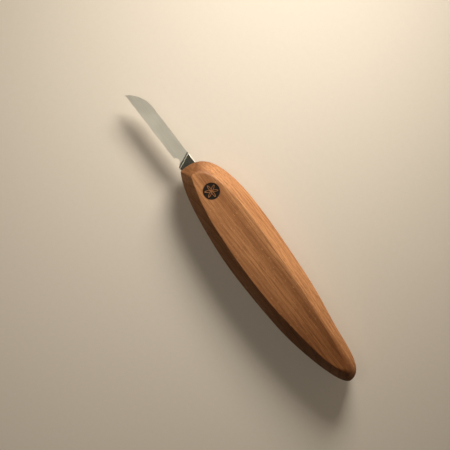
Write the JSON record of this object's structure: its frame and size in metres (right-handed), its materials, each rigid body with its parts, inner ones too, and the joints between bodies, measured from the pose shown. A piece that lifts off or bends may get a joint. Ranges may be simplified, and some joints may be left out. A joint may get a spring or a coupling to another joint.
{
  "type": "whittling knife",
  "caption": "Fixed-blade carving knife: short straight-edged steel blade with a dropped spine, glued into a long bevelled wooden handle that swells in the middle and tapers to the butt.",
  "frame": {"origin": "middle of the bounding box, on the plane of the unmarked broad face, on which the knife lies", "axes": "+X from the blade's tip to the handle's butt, +Y towards the back of the knife (away from the cutting edge), +Z out of the marked broad face"},
  "size_m": [0.1761, 0.0298, 0.021],
  "materials": {
    "blade_steel": "fine satin grind along the blade, darker flat ricasso",
    "handle_wood": "oiled reddish-brown hardwood, grain along the handle",
    "glue": "dark amber cured epoxy"
  },
  "bodies": {
    "root": {"blade": "blade_steel", "handle": "handle_wood", "tang_epoxy": "glue"}
  },
  "joints": []
}
